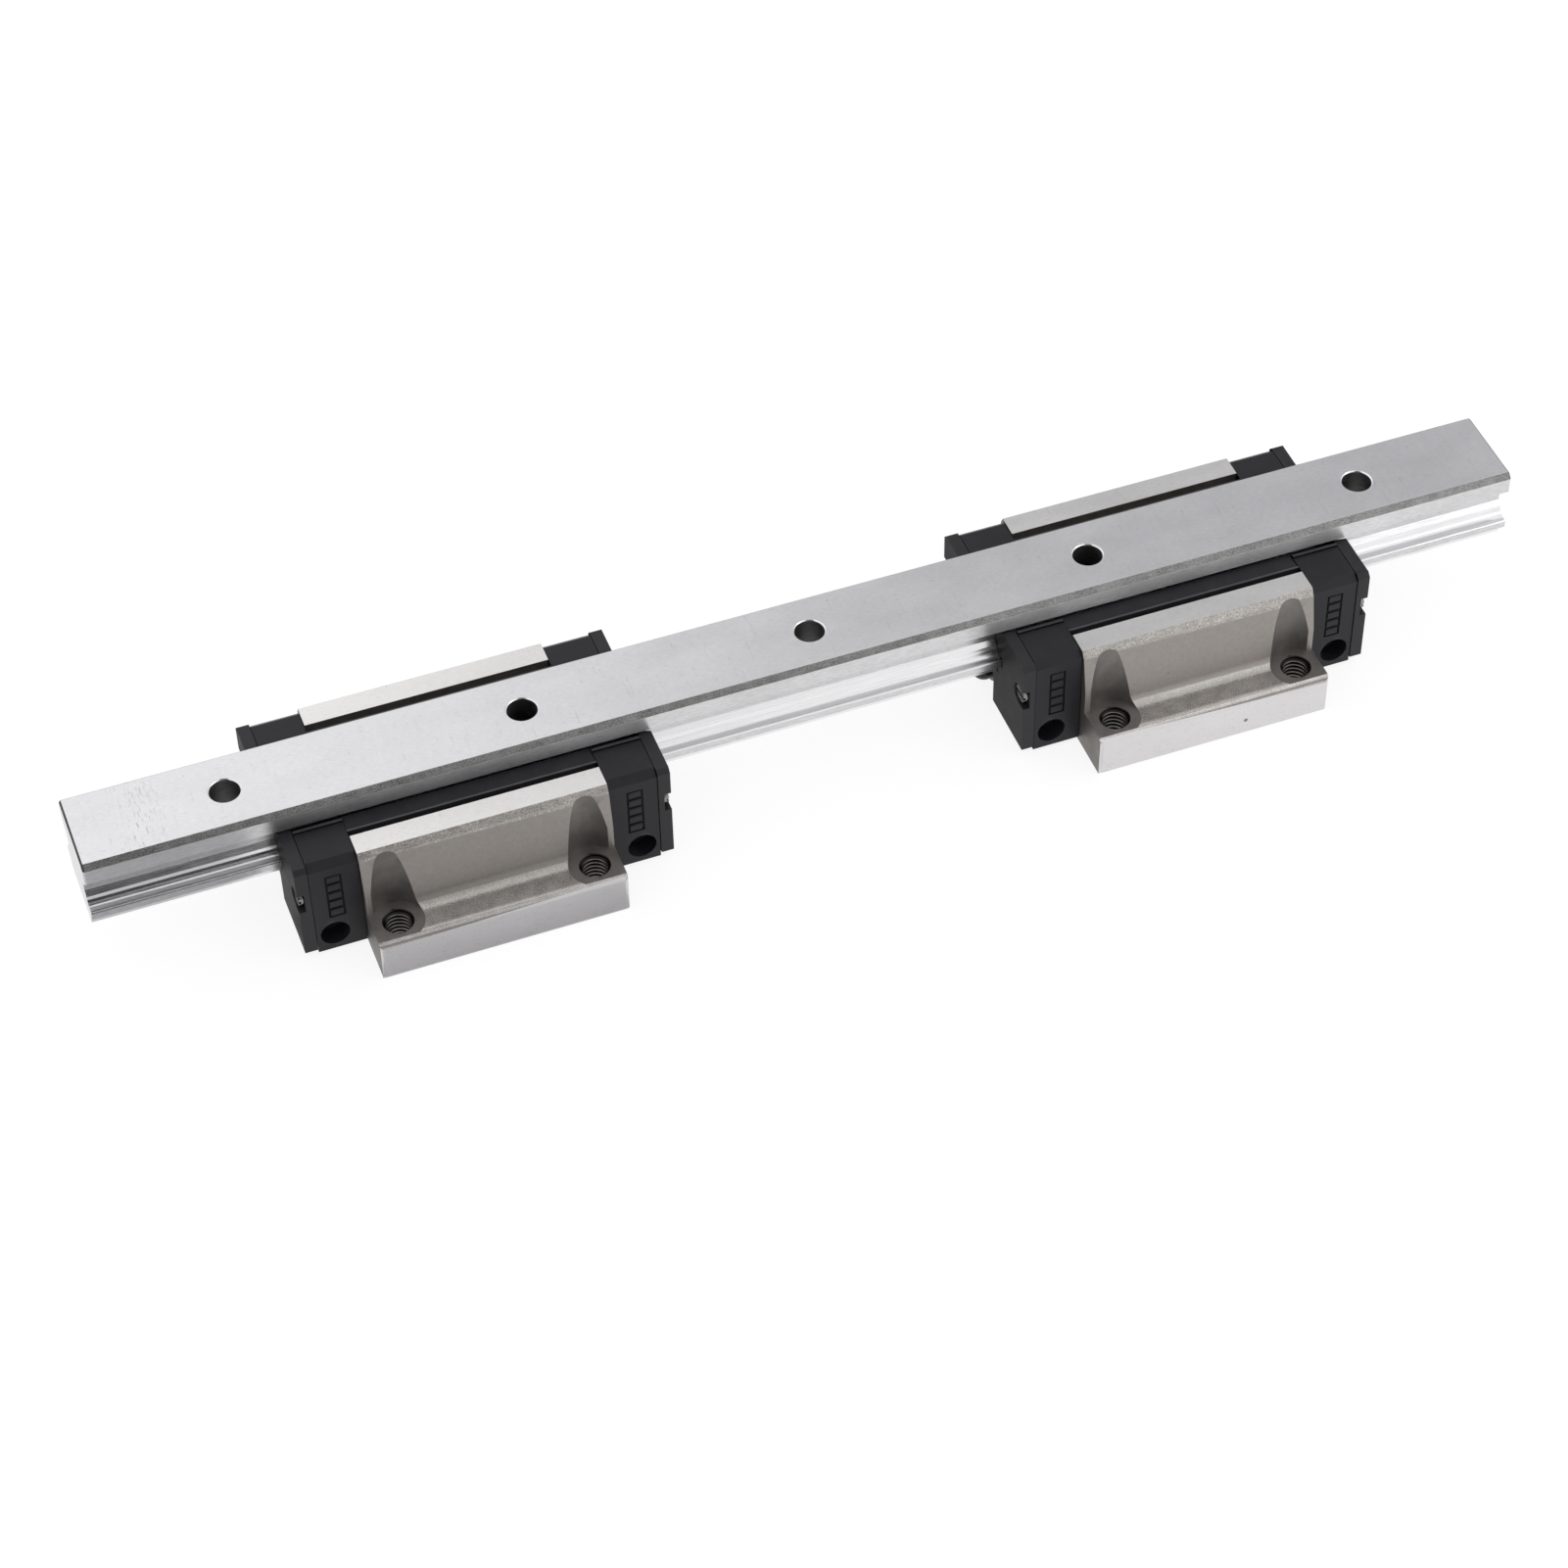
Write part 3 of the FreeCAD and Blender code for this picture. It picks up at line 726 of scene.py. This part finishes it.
def make_carriage(name):
    middle = CARRIAGE_X[name]
    holes = [(middle + x, y) for x in (-MOUNT_X, MOUNT_X) for y in (-MOUNT_Y, MOUNT_Y)]
    block = dress(name + "_block", name + "_body", name, block_finish(middle),
                  EDGE["block"], (middle, (middle - BLOCK_END, middle + BLOCK_END)))
    round_walls(evaluated(block), holes, SPOT_R)
    for place, end in (("left", -1), ("right", 1)):
        inner = middle + end * BLOCK_END
        joint = middle + end * CAP_END
        outer = middle + end * SEAL_END
        dress(f"{name}_{place}_cap", f"{name}_{place}_end_cap", name,
              cap_finish(middle), EDGE["cap"], ((inner + joint) / 2, (inner, joint)))
        dress(f"{name}_{place}_seal", f"{name}_{place}_end_seal", name,
              seal_finish(middle), EDGE["seal"], (outer, (joint,)))
    for place in ("front", "back"):
        dress(f"{name}_{place}_strip", f"{name}_{place}_retainer", name,
              strip_finish, EDGE["strip"])
    dress(name + "_screws", name + "_end_screws", name, screw_finish,
          EDGE["screws"])
    dress(name + "_grease_plug", name + "_plug", name, plug_finish, EDGE["plug"])
    add_threads(name, holes)


def facing(at, target):
    """Turn of a camera, lamp or card at this place that faces the target."""
    return (Vector(target) - Vector(at)).to_track_quat("-Z", "Y")


def make_camera():
    data = bpy.data.cameras.new("photo_camera")
    data.sensor_width = SENSOR
    data.lens = CAMERA_LENS
    data.clip_end = CAMERA_REACH
    camera = add_object("photo_camera", data)
    turn = facing(CAMERA_AT, CAMERA_TARGET).to_matrix().to_4x4()
    roll = Matrix.Rotation(math.radians(CAMERA_ROLL), 4, "Z")
    camera.matrix_world = Matrix.Translation(Vector(CAMERA_AT)) @ turn @ roll
    bpy.context.scene.camera = camera


def add_lamp(name, at, target, size, power):
    data = bpy.data.lights.new(name, "AREA")
    data.shape = "RECTANGLE"
    data.size, data.size_y = size
    data.energy = power
    lamp = add_object(name, data)
    lamp.location = at
    lamp.rotation_euler = facing(at, target).to_euler()


def add_stage(name, corners, material):
    """A flat stage piece through these corners."""
    mesh = bpy.data.meshes.new(name)
    mesh.from_pydata(corners, [], [tuple(range(len(corners)))])
    mesh.materials.append(material)
    piece = add_object(name, mesh)
    return piece


def rectangle(wide, high):
    """Corners of a rectangle, from its half width and half height."""
    return [Vector(corner) for corner in
            ((-wide, -high, 0), (wide, -high, 0), (wide, high, 0), (-wide, high, 0))]


def add_card(name, material, at, target, size):
    """A card that faces the target; only reflections see it."""
    turn = facing(at, target)
    corners = [Vector(at) + turn @ corner for corner in rectangle(size[0] / 2, size[1] / 2)]
    card = add_stage(name, corners, material)
    card.visible_camera = False
    card.visible_diffuse = False
    card.visible_shadow = False


def make_world():
    """White to the camera and in reflections, and a plain soft light on everything else."""
    world = bpy.data.worlds.new("studio")
    bpy.context.scene.world = world
    world.use_nodes = True
    tree = world.node_tree
    background = tree.nodes["Background"]
    background.inputs["Color"].default_value = (0.98, 0.98, 1.0, 1)
    background.inputs["Strength"].default_value = SKY_LIGHT
    white = tree.nodes.new("ShaderNodeBackground")
    white.inputs["Color"].default_value = (1, 1, 1, 1)
    mix = tree.nodes.new("ShaderNodeMixShader")
    tree.links.new(seen_directly(tree), mix.inputs["Fac"])
    tree.links.new(background.outputs[0], mix.inputs[1])
    tree.links.new(white.outputs[0], mix.inputs[2])
    tree.links.new(mix.outputs[0], tree.nodes["World Output"].inputs["Surface"])


def make_studio():
    add_stage("floor", rectangle(FLOOR_REACH, FLOOR_REACH), floor_material())
    cloths = {name: card_material(name, *tones) for name, tones in CLOTHS.items()}
    for name, cloth, at, target, size in CARDS:
        add_card(name, cloths[cloth], at, target, size)
    for lamp in LAMPS:
        add_lamp(*lamp)
    make_world()
    bpy.context.scene.view_settings.view_transform = "Standard"


make_camera()
make_studio()
make_rail()
for carriage_name in CARRIAGE_X:
    make_carriage(carriage_name)
